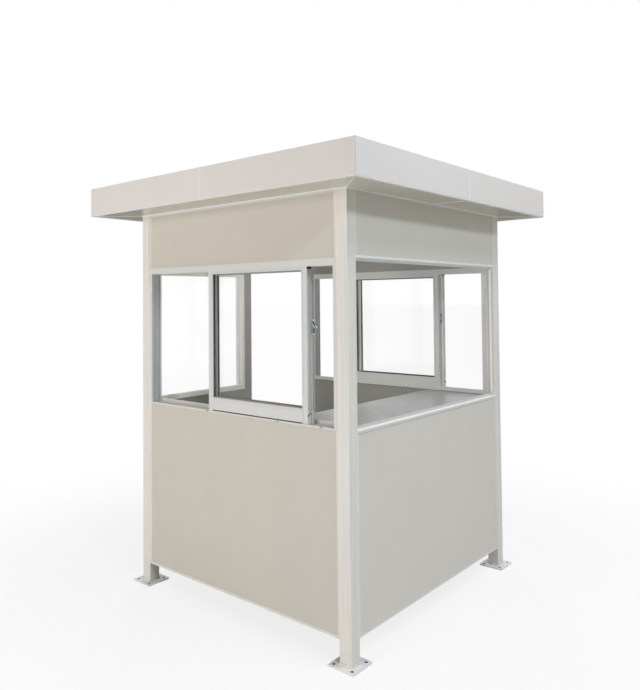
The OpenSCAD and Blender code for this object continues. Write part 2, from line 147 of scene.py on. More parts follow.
class BoothStage(bpy.types.PropertyGroup):
    """Camera, lamps and floor."""
    eye: bpy.props.FloatVectorProperty(
        name="Camera", description="Place of the camera", default=(2.549, -3.079, 1.595),
        subtype="TRANSLATION", unit="LENGTH")
    heading: bpy.props.FloatProperty(
        name="Heading", description="Turn of the view from +Y towards -X",
        default=math.radians(40.016), subtype="ANGLE")
    rise: bpy.props.FloatProperty(
        name="Rise", description="Upward tilt of the view",
        default=math.radians(1.602), subtype="ANGLE")
    roll: bpy.props.FloatProperty(
        name="Roll", description="Roll of the view", default=math.radians(-0.53), subtype="ANGLE")
    lens: bpy.props.FloatProperty(
        name="Lens", description="Focal length in millimetres", default=35.13, min=1)
    shift: bpy.props.FloatProperty(
        name="Shift", description="Vertical lens shift", default=-0.0928)
    front_lamp: watts("Front lamp", "Power of the soft front lamp", 167)
    card_lamp: watts("Front card", "Power of the low front lamp", 16)
    side_lamp: watts("Side lamp", "Power of the side lamp", 167)
    high_lamp: watts("High lamp", "Power of the high side lamp", 186)
    back_lamp: watts("Back lamp", "Power of the soft back lamp", 210)
    room_lamp: watts("Room fill", "Power of the soft fill inside", 4.2)
    ambient: bpy.props.FloatProperty(
        name="Ambient", description="Strength of the world's light", default=0.15, min=0)


def colours():
    return bpy.context.scene.booth_colours


def sizes():
    return bpy.context.scene.booth_sizes


# ---------------------------------------------------------------- materials

def add(tree, kind, inputs=None, **settings):
    """Adds a node; inputs gives each socket a value, another node's output or a node's first one."""
    made = tree.nodes.new(kind)
    for name, value in settings.items():
        setattr(made, name, value)
    for socket, value in (inputs or {}).items():
        if isinstance(value, bpy.types.Node):
            value = value.outputs[0]
        if isinstance(value, bpy.types.NodeSocket):
            tree.links.new(value, made.inputs[socket])
        else:
            made.inputs[socket].default_value = value
    return made


def per(millimetres):
    """Texture scale, in cells a metre, of a feature of that size."""
    return 1 / (millimetres * MM)


def rgba(value):
    return (*value, 1)


WHITE = (1, 1, 1, 1)


def new_material(name):
    """A material with its empty node tree and the Object coordinates."""
    mat = bpy.data.materials.new(name)
    mat.use_nodes = True
    mat.node_tree.nodes.clear()
    return mat, mat.node_tree, add(mat.node_tree, "ShaderNodeTexCoord").outputs["Object"]


def any_ray(tree, kinds):
    """1 for a ray of any of those kinds, such as Is Camera Ray, and 0 for the rest."""
    path = add(tree, "ShaderNodeLightPath")
    found = path.outputs[kinds[0]]
    for kind in kinds[1:]:
        found = add(tree, "ShaderNodeMath", {0: found, 1: path.outputs[kind]},
                    operation="MAXIMUM")
    return found


def clouded(tree, place, size, low, high, detail=2):
    """A value that wanders softly from low to high, in clouds of that size in millimetres."""
    cloud = add(tree, "ShaderNodeTexNoise", {
        "Vector": place, "Scale": per(size), "Detail": detail})
    return add(tree, "ShaderNodeMapRange", {
        "Value": cloud, "From Min": 0.3, "From Max": 0.7, "To Min": low, "To Max": high})


def drifted(tree, place, base, size, amount, stretch):
    """The base colour, a little lighter and darker in soft clouds."""
    spot = add(tree, "ShaderNodeMapping", {"Vector": place, "Scale": stretch})
    value = clouded(tree, spot, size, 1 - amount, 1 + amount, 3)
    return add(tree, "ShaderNodeHueSaturation", {"Value": value, "Color": rgba(base)})


def bumps(tree, place, layers):
    """Stacked bumps; each layer is (size in mm, height in mm, stretch)."""
    normal = None
    for size, height, stretch in layers:
        spot = add(tree, "ShaderNodeMapping", {"Vector": place, "Scale": stretch})
        cloud = add(tree, "ShaderNodeTexNoise", {"Vector": spot, "Scale": per(size), "Detail": 2})
        inputs = {"Height": cloud, "Strength": 1, "Distance": height * MM}
        if normal:
            inputs["Normal"] = normal
        normal = add(tree, "ShaderNodeBump", inputs)
    return normal


EVEN = (1, 1, 1)
LENGTHWISE = (1, 1, 0.03)                   # stretches a pattern along a post


def coated(name, base, roughness, drift_size, drift, layers, stretch=EVEN, **fixed):
    """A painted or coated surface from its colour, roughness and bump layers."""
    mat, tree, place = new_material(name)
    shader = add(tree, "ShaderNodeBsdfPrincipled", {
        "Base Color": drifted(tree, place, base, drift_size, drift, stretch),
        "Roughness": clouded(tree, place, 60, roughness * 0.85, roughness * 1.15),
        "Normal": bumps(tree, place, layers)})
    for socket, value in fixed.items():
        shader.inputs[socket.replace("_", " ")].default_value = value
    add(tree, "ShaderNodeOutputMaterial", {"Surface": shader})
    return mat


def sprayed_enamel(name="sprayed_enamel"):
    """Steel tube, sprayed with satin enamel: runs of the gun leave faint upright streaks."""
    return coated(name, colours().enamel, 0.38, 12, 0.055, [(9, 0.05, LENGTHWISE)], LENGTHWISE)


def lightened_plate_enamel():
    """Cut steel plate with the same satin enamel, made lighter as painted light for the strong light
    on the plates' tops: even, since it is sprayed flat.
    """
    return coated("sprayed_enamel_plates", colours().plate, 0.38, 60, 0.02, [(9, 0.03, EVEN)])


def cut_steel():
    """Drilled steel, left bare: dull, with fine tool marks, and very dark as painted shade inside the
    bolt holes.
    """
    return coated("cut_steel", colours().bare_steel_and_shade, 0.55, 8, 0.1, [(1.5, 0.02, EVEN)])


def brushed_primer():
    """Steel tube with a matt grey primer, brushed on: dull and a little uneven."""
    return coated("brushed_primer", colours().primer, 0.75, 40, 0.06, [(3, 0.05, EVEN)])


def coil_coat(name, base, roughness=0.42):
    """Steel skin of a foam panel, coil coated: even, satin, with faint waves where it is glued."""
    return coated(name, base, roughness, 260, 0.012, [(420, 0.5, EVEN), (4, 0.004, EVEN)])


def matt_shaded_ceiling():
    """The ceiling sheet's coat: plain and matt, with hardly any sheen; its grey is darker than the
    real white coat, as painted shade.
    """
    return coated("coil_coat_ceiling", colours().ceiling, 0.7, 260, 0.012,
                  [(420, 0.5, EVEN)], Specular_IOR_Level=0.2)


def folded_sheet(name, base, roughness):
    """Thin coated sheet, folded on a press: semi-gloss and slightly wavy between its folds."""
    return coated(name, base, roughness, 500, 0.012, [(300, 0.4, EVEN)])


def overpainted(mat, choice, start, end, before, after, over):
    """Lays a second colour over a material by the smaller or larger of |x| and |y|.

    The choice is MINIMUM or MAXIMUM. Up to start, the second colour covers by the share
    before, past end by the share after, and it fades between them.
    """
    tree = mat.node_tree
    place = add(tree, "ShaderNodeTexCoord").outputs["Object"]
    folded = add(tree, "ShaderNodeVectorMath", {0: place}, operation="ABSOLUTE")
    split = add(tree, "ShaderNodeSeparateXYZ", {0: folded})
    off = add(tree, "ShaderNodeMath", {0: split.outputs[0], 1: split.outputs[1]}, operation=choice)
    share = add(tree, "ShaderNodeMapRange", {
        "Value": off, "From Min": start, "From Max": end, "To Min": before, "To Max": after})
    paint = next(node for node in tree.nodes if node.type == "BSDF_PRINCIPLED")
    base = paint.inputs["Base Color"].links[0].from_socket
    mixed = add(tree, "ShaderNodeMix", {"Factor": share, 6: base, 7: rgba(over)}, data_type="RGBA")
    tree.links.new(mixed.outputs[2], paint.inputs["Base Color"])
    return mat


def lined_with_shade(mat):
    """The material, with the plain grey lining coat on the room side of the walls' mid-plane; its
    grey is darkened as painted shade for the dim inside of the booth.
    """
    low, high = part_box("front_lower_panel")
    middle = -(low.y + high.y) / 2
    return overpainted(mat, "MAXIMUM", middle - MM, middle + MM, 1, 0, colours().lining_and_shade)


def jointed_fascia():
    """The fascia's folded sheet, with a pale line of sealant over the joint in each side."""
    return overpainted(folded_sheet("folded_sheet_fascia", colours().fascia, 0.36), "MINIMUM",
                       3.5 * MM, 4.5 * MM, 0.8, 0, colours().trim)


def powder_coat(name, base):
    """Extruded aluminium, white powder coat: satin with a fine even texture."""
    return coated(name, base, 0.36, 30, 0.012, [(2, 0.006, EVEN)])


def pressed_laminate():
    """High-pressure laminate on board, pressed against a smooth plate: satin, with a soft sheen."""
    return coated("pressed_laminate", colours().counter, 0.34, 18, 0.012,
                  [(160, 0.12, EVEN)], Specular_IOR_Level=0.4)


def rolled_vinyl():
    """Vinyl floor sheet with pressed chips of two greys: matt, with a soft sheen."""
    mat, tree, place = new_material("rolled_vinyl")
    chips = add(tree, "ShaderNodeTexVoronoi", {"Vector": place, "Scale": per(5)}, feature="F1")
    shade = add(tree, "ShaderNodeSeparateColor", {"Color": chips.outputs["Color"]})
    value = add(tree, "ShaderNodeMapRange", {"Value": shade, "To Min": 0.88, "To Max": 1.12})
    tint = add(tree, "ShaderNodeHueSaturation", {"Value": value, "Color": rgba(colours().vinyl)})
    shader = add(tree, "ShaderNodeBsdfPrincipled", {
        "Base Color": tint, "Roughness": clouded(tree, place, 120, 0.42, 0.58),
        "Normal": bumps(tree, place, [(4, 0.06, EVEN)])})
    add(tree, "ShaderNodeOutputMaterial", {"Surface": shader})
    return mat


def extruded_rubber(name, base):
    """Glazing rubber, extruded: dull, with a faint bloom."""
    return coated(name, base, 0.6, 12, 0.1, [(2, 0.01, EVEN)])


def extruded_vinyl():
    """Rigid vinyl strip, extruded: plain grey and smooth."""
    return coated("extruded_vinyl", colours().liner, 0.5, 40, 0.03, [(3, 0.01, EVEN)])


def zinc_plate():
    """Zinc-plated die casting or screw: soft silver with a fine grain."""
    return coated("zinc_plate", colours().zinc, 0.34, 6, 0.04, [(0.8, 0.01, EVEN)], Metallic=1)


def moulded_nylon():
    """Moulded nylon: white, smooth and slightly waxy."""
    return coated("moulded_nylon", colours().knob, 0.36, 10, 0.01, [(2, 0.01, EVEN)])


def float_glass():
    """Clear float glass: lamps shine through it and it mirrors the bright surroundings a little."""
    mat, tree, place = new_material("float_glass")
    tint = rgba(colours().glass)
    clear = add(tree, "ShaderNodeBsdfPrincipled", {
        "Base Color": tint, "Roughness": clouded(tree, place, 140, 0.002, 0.022),
        "IOR": 1.28, "Transmission Weight": 1})
    through = any_ray(tree, ("Is Shadow Ray", "Is Diffuse Ray"))
    lamp = add(tree, "ShaderNodeBsdfTransparent", {"Color": tint})
    mixed = add(tree, "ShaderNodeMixShader", {0: through, 1: clear, 2: lamp})
    add(tree, "ShaderNodeOutputMaterial", {"Surface": mixed})
    return mat


# The maker of each finish: first the record's slots, then those that single pieces have.
MAKERS = {
    "post_paint": sprayed_enamel,
    "frame_primer": brushed_primer,
    "panel_skin_front": lambda: lined_with_shade(coil_coat("coil_coat_warm", colours().skin_front)),
    # The side panels' lighter copy of the coat is painted light.
    "panel_skin_side": lambda: lined_with_shade(coil_coat("coil_coat_cool", colours().skin_side_lightened)),
    "ceiling_skin": matt_shaded_ceiling,
    "soffit_sheet": lambda: folded_sheet("gloss_sheet_soffit", colours().soffit, 0.16),
    "roof_skin": lambda: coil_coat("coil_coat_roof", colours().roof, 0.45),
    "fascia_sheet": jointed_fascia,
    "window_aluminium": lambda: powder_coat("powder_coated_aluminium", colours().aluminium),
    "bright_trim": lambda: powder_coat("powder_coated_trim", colours().trim),
    "window_glass": float_glass,
    "counter_laminate": pressed_laminate,
    "floor_vinyl": rolled_vinyl,
    "latch_metal": zinc_plate,
    "gasket_rubber": lambda: extruded_rubber("extruded_rubber", colours().gasket),
    "pale_rubber": lambda: extruded_rubber("extruded_rubber_pale", colours().bead),
    "white_nosing_highlight": lambda: powder_coat("powder_coated_nosing", colours().nosing),
    # The door post's room side takes the lining's grey: painted shade, as on the walls.
    "shade_lined_post": lambda: lined_with_shade(sprayed_enamel("sprayed_enamel_lined")),
    "lightened_plate_enamel": lightened_plate_enamel,
    "cut_steel": cut_steel,
    "grey_liner": extruded_vinyl,
    "stop_nylon": moulded_nylon,
}
made_materials = {}


def material(name):
    """The booth's material of that name, made once."""
    if name not in made_materials:
        made_materials[name] = MAKERS[name]()
    return made_materials[name]


# ---------------------------------------------------------------- shapes

SHARP_TURN = 32                             # degrees; an edge that turns more stays sharp


def new_piece(name, bm, material_name, replaces=()):
    """Turns a bmesh into a finished piece that rides on the booth."""
    bmesh.ops.recalc_face_normals(bm, faces=bm.faces)
    mesh = bpy.data.meshes.new(name)
    bm.to_mesh(mesh)
    bm.free()
    mesh.shade_smooth()
    mesh.set_sharp_from_angle(angle=math.radians(SHARP_TURN))
    return settle(name, mesh, material_name, replaces)


def settle(name, mesh, material_name, replaces=()):
    """Links a mesh as a piece, with its material and body."""
    obj = bpy.data.objects.new(name, mesh)
    bpy.context.scene.collection.objects.link(obj)
    if not mesh.materials:
        mesh.materials.append(material(material_name))
    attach(obj, BODY)
    for node in replaces:
        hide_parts(node)
    return obj


def mm(*points):
    """Points in millimetres, turned to metres."""
    return [tuple(value * MM for value in point) for point in points]


def spokes(steps):
    """Cosine and sine of evenly spaced turns."""
    turns = [2 * math.pi * i / steps for i in range(steps)]
    return [(math.cos(turn), math.sin(turn)) for turn in turns]


def prism(bm, outline, travel):
    """Closed prism: a flat outline of points, carried along travel."""
    near = [bm.verts.new(point) for point in outline]
    far = [bm.verts.new(Vector(point) + Vector(travel)) for point in outline]
    bm.faces.new(near)
    bm.faces.new(list(reversed(far)))
    for i, vert in enumerate(near):
        j = (i + 1) % len(near)
        bm.faces.new((vert, near[j], far[j], far[i]))


def loop_sweep(bm, rings):
    """Closed band through rings of equal length, the last joined to the first."""
    verts = [[bm.verts.new(point) for point in ring] for ring in rings]
    for a, ring in enumerate(verts):
        after = verts[(a + 1) % len(verts)]
        for b in range(len(ring)):
            c = (b + 1) % len(ring)
            bm.faces.new((ring[b], ring[c], after[c], after[b]))


def lathe(bm, centre, axis, profile, steps=24):
    """Closed turned shape; profile lists (distance along the axis, radius) from tip to tip."""
    axis = Vector(axis).normalized()
    side = axis.orthogonal().normalized()
    over = axis.cross(side)
    rings = []
    for along, radius in profile:
        hub = Vector(centre) + along * axis
        rings.append([bm.verts.new(hub + radius * (c * side + s * over)) for c, s in spokes(steps)])
    for low, high in zip(rings, rings[1:]):
        for i in range(steps):
            j = (i + 1) % steps
            bm.faces.new((low[i], low[j], high[j], high[i]))
    bm.faces.new(rings[0])
    bm.faces.new(list(reversed(rings[-1])))


def levels(node, axis):
    """The different coordinates of a CAD node's corners along an axis, in order."""
    return sorted({round(vert.co[axis], 5) for vert in NODES[node].data.vertices})


def plate_square():
    """How far a base plate's middle lies from the axes, and half its width."""
    edges = [x for x in levels("base_plates", 0) if x > 0]
    return (edges[0] + edges[-1]) / 2, (edges[-1] - edges[0]) / 2


class Wall:
    """Places a window's parts: u along the wall, d inwards from the frame's face, z up."""

    def __init__(self, node, along, inward):
        low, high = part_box(node)
        self.along = along
        self.across = 1 - along
        self.inward = inward
        self.face = low[self.across] if inward > 0 else high[self.across]

    def at(self, u, d, z):
        """The point at a place along the wall, a depth and a height."""
        point = Vector((0, 0, z))
        point[self.along] = u
        point[self.across] = self.face + self.inward * d
        return point

    def depths(self, node):
        """The depths of a CAD node's near and far face."""
        low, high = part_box(node)
        return sorted(self.inward * (corner[self.across] - self.face) for corner in (low, high))

    def opening(self, sash):
        """The glass opening of a sash: its left, right, bottom and top."""
        across = levels(sash, self.along)
        upward = levels(sash, 2)
        return across[2], across[-3], upward[2], upward[-3]

    def upright(self, bm, section, low, high):
        """A prism of (u, d) points from one height to another."""
        prism(bm, [self.at(u, d, low) for u, d in section], (0, 0, high - low))

    def crossways(self, bm, section, left, right):
        """A prism of (d, z) points from one place along the wall to another."""
        travel = self.at(right, 0, 0) - self.at(left, 0, 0)
        prism(bm, [self.at(left, d, z) for d, z in section], travel)


WALLS = {
    "front": Wall("front_window_frame", 0, 1),
    "back": Wall("back_window_frame", 0, -1),
    "left": Wall("left_window_frame", 1, 1),
}
SASHES = [(side, f"{side}_{track}_sash") for side in ("front", "back")
          for track in ("outer", "inner")]


# ---------------------------------------------------------------- windows

def member_outline(width, depth, foot):
    """Section of a sash member as (from outer edge to glass, depth) points.

    The outer edge has a channel, the glass edge a slot, and each face a fine groove. With a
    foot, the outer lip is cut back there and leaves a shadow gap.
    """
    soft = 0.8 * MM
    cut = 1.2 * MM
    channel = 5 * MM
    lip = 4.4 * MM
    slot = 5.5 * MM
    bite = 8 * MM
    groove = width - sizes().stile_groove
    middle = depth / 2

    def half(foot_cut):
        """From the channel round the lip to the slot, for the face at depth 0."""
        points = [(channel, channel)]
        if foot_cut:
            points += [(0, channel), (0, lip), (foot_cut, lip), (foot_cut, 0)]
        else:
            points += [(0, channel), (0, soft), (soft, 0)]
        points += [(groove - cut, 0), (groove, 1.5 * cut), (groove + cut, 0), (width - soft, 0),
                   (width, soft), (width, middle - slot), (width - bite, middle - slot)]
        return points

    outer = half(foot)
    inner = [(a, depth - d) for a, d in reversed(half(0))]
    return outer + inner


def sash_members(bm, wall, sash):
    """Two full-height stiles with a bottom and a top rail between them."""
    left, right, bottom, top = wall.opening(sash)
    low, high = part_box(sash)
    u0, u1, z0, z1 = low[wall.along], high[wall.along], low.z, high.z
    d0, d1 = wall.depths(sash)
    fit = 0.3 * MM
    for start, sign, width in ((u0, 1, left - u0), (u1, -1, u1 - right)):
        outline = member_outline(width, d1 - d0, 0)
        wall.upright(bm, [(start + sign * a, d0 + d) for a, d in outline], z0, z1)
    for start, sign, height, foot in (
            (z0, 1, bottom - z0, sizes().foot_gap), (z1, -1, z1 - top, 0)):
        outline = member_outline(height, d1 - d0, foot)
        wall.crossways(bm, [(d0 + d, start + sign * a) for a, d in outline],
                       left + fit, right - fit)


class BOOTH_OT_sashes(bpy.types.Operator):
    """Sliding sashes of extruded profiles, in place of the plain CAD sashes"""
    bl_idname = "booth.sashes"
    bl_label = "Sashes"

    def execute(self, context):
        for side, sash in SASHES:
            bm = bmesh.new()
            sash_members(bm, WALLS[side], sash)
            new_piece(f"{sash}_profiles", bm, "window_aluminium", [sash])
        return {"FINISHED"}


HALF_GLASS = 2.5 * MM                       # half a sash pane's thickness


def glazing_ring(bm, wall, opening, face, out, width):
    """A mitred wedge round an opening, on the glass face at that depth."""
    left, right, bottom, top = opening
    lip, tuck = sizes().gasket_lip, -3 * MM
    section = [(tuck, face), (width, face), (width * 0.85, face + out * lip * 0.5),
               (width * 0.3, face + out * lip), (tuck, face + out * lip)]
    loop_sweep(bm, [[wall.at(u + a * su, d, z + a * sz) for a, d in section]
                    for u, z, su, sz in ((left, bottom, 1, 1), (right, bottom, -1, 1),
                                         (right, top, -1, -1), (left, top, 1, -1))])


class BOOTH_OT_gaskets(bpy.types.Operator):
    """Gaskets and beads round the panes, seals, brush strips and the jambs' liners"""
    bl_idname = "booth.gaskets"
    bl_label = "Gaskets"

    def execute(self, context):
        for side, sash in SASHES:
            wall = WALLS[side]
            middle = sum(wall.depths(sash)) / 2
            for out, kind, rubber in ((1, "gasket", "gasket_rubber"), (-1, "bead", "pale_rubber")):
                bm = bmesh.new()
                glazing_ring(bm, wall, wall.opening(sash), middle + out * HALF_GLASS, out,
                             sizes().gasket_width)
                new_piece(f"{sash}_{kind}", bm, rubber)
        self.left_beads()
        self.brushes()
        self.side_seals()
        self.sealant()
        self.foot_shade_seals()
        self.jamb_liners()
        return {"FINISHED"}

    def left_beads(self):
        """White glazing beads on both sides of the left window's fixed pane."""
        wall = WALLS["left"]
        low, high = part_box("left_window_glass")
        bite = 8 * MM
        opening = (low.y + bite, high.y - bite, low.z + bite, high.z - bite)
        bm = bmesh.new()
        for out, depth in zip((-1, 1), wall.depths("left_window_glass")):
            glazing_ring(bm, wall, opening, depth, out, 2.5 * MM)
        new_piece("left_window_beads", bm, "bright_trim")

    def brushes(self):
        """Pile strips on the inner sashes' stiles that close the gap to the outer sashes."""
        bm = bmesh.new()
        thick = 3 * MM
        margin = 4 * MM
        inset = 20 * MM                             # from the stiles' ends
        for side in ("front", "back"):
            wall = WALLS[side]
            sash = f"{side}_inner_sash"
            low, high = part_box(sash)
            left, right = wall.opening(sash)[:2]
            near = wall.depths(sash)[0]
            for start, end in ((low[wall.along] + margin, left - MM),
                               (right + MM, high[wall.along] - margin)):
                section = [(start, near), (end, near), (end - MM, near - thick),
                           (start + MM, near - thick)]
                wall.upright(bm, section, low.z + inset, high.z - inset)
        new_piece("brush_strips", bm, "gasket_rubber")

    def side_seals(self):
        """Black wedges over the beads on the stiles' weather side."""
        bm = bmesh.new()
        wide = sizes().gasket_width + MM
        for side, sash in SASHES:
            wall = WALLS[side]
            left, right, bottom, top = wall.opening(sash)
            face = sum(wall.depths(sash)) / 2 - HALF_GLASS
            for edge, sign in ((left, 1), (right, -1)):
                section = [(edge, face - 0.4 * MM), (edge + sign * wide, face - 0.4 * MM),
                           (edge + sign * (wide - MM), face - 2.4 * MM), (edge, face - 3.4 * MM)]
                wall.upright(bm, section, bottom + MM, top - MM)
        new_piece("stile_side_seals", bm, "gasket_rubber")

    def sealant(self):
        """Beads of pale sealant up the two edges of the pane beside the counter."""
        low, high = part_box("right_window_glass")
        inset = 12 * MM
        bm = bmesh.new()
        for y, sign in ((low.y, 1), (high.y, -1)):
            for x, out in ((low.x, -1), (high.x, 1)):
                outline = [(x + out * a, y + sign * b, low.z + inset) for a, b in mm(
                    (0, 0), (0, 6), (2.2, 4.6), (4.4, 2), (5, 0))]
                prism(bm, outline, (0, 0, high.z - low.z - 2 * inset))
        new_piece("pane_sealant", bm, "bright_trim")

    def foot_shade_seals(self):
        """A dark rubber strip along the back of the shadow gap at each outer sash's foot; its black
        deepens the gap as painted shade.
        """
        bm = bmesh.new()
        for side in ("front", "back"):
            wall = WALLS[side]
            sash = f"{side}_outer_sash"
            left, right = wall.opening(sash)[:2]
            low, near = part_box(sash)[0].z, wall.depths(sash)[0]
            section = [(near + d, low + z) for d, z in mm((1.2, 0), (5.6, 0), (5.6, 3.6), (2, 3))]
            wall.crossways(bm, section, left + MM, right - MM)
        new_piece("sash_foot_seals", bm, "gasket_rubber")

    def jamb_liners(self):
        """Thin grey strips in the grooves of the jambs, between the sill and the head."""
        bm = bmesh.new()
        for side in ("front", "back"):
            wall = WALLS[side]
            frame_node = f"{side}_window_frame"
            depths = sorted(wall.inward * (y - wall.face) for y in levels(frame_node, wall.across))
            across, head = levels(frame_node, wall.along), levels(frame_node, 2)[-2]
            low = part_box(f"{side}_outer_sash")[0].z
            for near, far in zip(depths[2:-2:2], depths[3:-2:2]):
                for u, sign in ((across[1], 1), (across[-2], -1)):
                    section = [(u, near), (u + sign * MM, near + MM), (u + sign * MM, far - MM),
                               (u, far)]
                    wall.upright(bm, section, low, head)
        new_piece("jamb_liners", bm, "grey_liner")


def rounded_plate(bm, centre, along, over, out, size, radius, steps=5):
    """Flat plate with round corners: size is (length, width, thickness)."""
    reach = [size[0] / 2 - radius, size[1] / 2 - radius]
    outline = []
    for quarter, (sa, so) in enumerate(((1, 1), (-1, 1), (-1, -1), (1, -1))):
        for i in range(steps + 1):
            turn = math.pi / 2 * (quarter + i / steps)
            outline.append(centre + (sa * reach[0] + radius * math.cos(turn)) * along
                           + (so * reach[1] + radius * math.sin(turn)) * over)
    prism(bm, outline, out * size[2])


class BOOTH_OT_latches(bpy.types.Operator):
    """Latches on the free edges of the inner sashes: plate, case, black inlays as painted shade in
    the hook's openings, knob and screws
    """
    bl_idname = "booth.latches"
    bl_label = "Latches"

    def execute(self, context):
        metal, dark = bmesh.new(), bmesh.new()
        up, out = Vector((0, 0, 1)), Vector((1, 0, 0))
        low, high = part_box("sash_latches")
        middle_z = (low.z + high.z) / 2
        tall = high.z - low.z
        plate, case, inlay = 1.6 * MM, 8 * MM, 0.8 * MM
        offset = 17 * MM * up
        for side in ("front", "back"):
            sash = f"{side}_inner_sash"
            wall = WALLS[side]
            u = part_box(sash)[1][wall.along]
            over = Vector((0, wall.inward, 0))
            seat = wall.at(u, sum(wall.depths(sash)) / 2, middle_z)
            top = seat + case * out
            rounded_plate(metal, seat, up, over, out, (tall, 21 * MM, plate), 9 * MM)
            rounded_plate(metal, seat, up, over, out, (66 * MM, 18 * MM, case), 6 * MM)
            # Black inlays: painted shade in the latch's hook openings.
            rounded_plate(dark, top - offset, up, over, out, (26 * MM, 11 * MM, inlay), 5.4 * MM)
            slant = up * math.cos(0.6) - over * math.sin(0.6)
            rounded_plate(dark, top + offset, slant, slant.cross(out), out,
                          (26 * MM, 8 * MM, inlay), 3.9 * MM)
            lathe(metal, top, out,
                  mm((0, 7), (2, 7), (3, 5), (8, 4.4), (10, 6.5), (16, 6.5), (17.5, 5)))
            for end in (-1, 1):
                lathe(dark, seat + end * (tall / 2 - 6 * MM) * up + plate * out, out,
                      mm((0, 3), (0.6, 2.8), (1, 1.6)), 12)
        new_piece("latch_bodies", metal, "latch_metal", ["sash_latches"])
        new_piece("latch_inserts", dark, "gasket_rubber")
        return {"FINISHED"}


WEEP_PLACES = (-0.187, 0.321, 0.588)        # along X, under the front and back windows
STOP_PLACE = 0.123                          # along X, on the back window's frame


class BOOTH_OT_window_small_parts(bpy.types.Operator):
    """Stile end blocks, head pads, the right sill's nosing, black weep slot marks as painted shade,
    and the back window's stop
    """
    bl_idname = "booth.window_small_parts"
    bl_label = "Window small parts"

    def execute(self, context):
        self.stile_ends()
        self.nosing()
        weeps = bmesh.new()
        for side in ("front", "back"):
            wall = WALLS[side]
            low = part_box(f"{side}_window_frame")[0]
            along, out = Vector((1, 0, 0)), Vector((0, -wall.inward, 0))
            # Thin black plates on the frame's face: painted shade of the weep slots.
            for u in WEEP_PLACES:
                rounded_plate(weeps, wall.at(u, 0, low.z + 4 * MM), along, Vector((0, 0, 1)), out,
                              (12 * MM, 3.4 * MM, 0.6 * MM), 1.6 * MM)
        new_piece("weep_covers", weeps, "gasket_rubber")
        stop = bmesh.new()
        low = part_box("back_window_frame")[0]
        lathe(stop, (STOP_PLACE, low.y, low.z + 14 * MM), (0, -1, 0),
              mm((0, 4), (3, 4), (4, 7.5), (7, 9), (10, 8.4), (12, 5.5), (12.6, 2)))
        new_piece("sash_stop", stop, "stop_nylon")
        return {"FINISHED"}

    def nosing(self):
        """A bright round bead along the sill trim's outer edge, whiter than the trims as a painted
        highlight, and a fine grey seal under its flange that stands in for the shade line there.
        """
        low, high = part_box("right_sill_trim")
        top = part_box("right_lower_panel")[1].z + 2 * MM
        radius = 5.6 * MM
        centre = Vector((high.x - 3.4 * MM, low.y + MM, top - 4.2 * MM))
        travel = (0, high.y - low.y - 2 * MM, 0)
        bead = bmesh.new()
        prism(bead, [centre + radius * Vector((c, 0, s)) for c, s in spokes(16)], travel)
        new_piece("sill_nosing", bead, "white_nosing_highlight")
        # Grey strip under the flange: painted shade line.
        shade_seal = bmesh.new()
        prism(shade_seal, [(high.x + x, low.y + MM, low.z + z) for x, z in mm(
            (-4, 1), (-0.6, 1), (-0.4, -1.2), (-2, -2.4), (-4, -2.4))], travel)
        new_piece("sill_flange_seal", shade_seal, "pale_rubber")

    def stile_ends(self):
        """A block at the foot of each stile's channel, and black pads at the outer stiles' heads."""
        blocks, pads = bmesh.new(), bmesh.new()
        channel = 5 * MM
        block_height = 58 * MM
        pad_low, pad_high = 25 * MM, 13 * MM        # down from the stile's head
        for side, sash in SASHES:
            wall = WALLS[side]
            low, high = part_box(sash)
            d0, d1 = wall.depths(sash)
            for edge, sign in ((low[wall.along], 1), (high[wall.along], -1)):
                inner, proud = edge + sign * channel, edge - sign * 2 * MM
                wall.upright(blocks, [(edge, d0 + channel), (inner, d0 + channel),
                                      (inner, d1 - channel), (edge, d1 - channel)],
                             low.z, low.z + block_height)
                if "outer" in sash:
                    wall.upright(pads, [(edge, d0 + MM), (edge, d1 + 10 * MM),
                                        (proud, d1 + 9 * MM), (proud, d0 + 2 * MM)],
                                 high.z - pad_low, high.z - pad_high)
        new_piece("stile_end_blocks", blocks, "window_aluminium")
        new_piece("stile_head_pads", pads, "gasket_rubber")


# ---------------------------------------------------------------- eaves

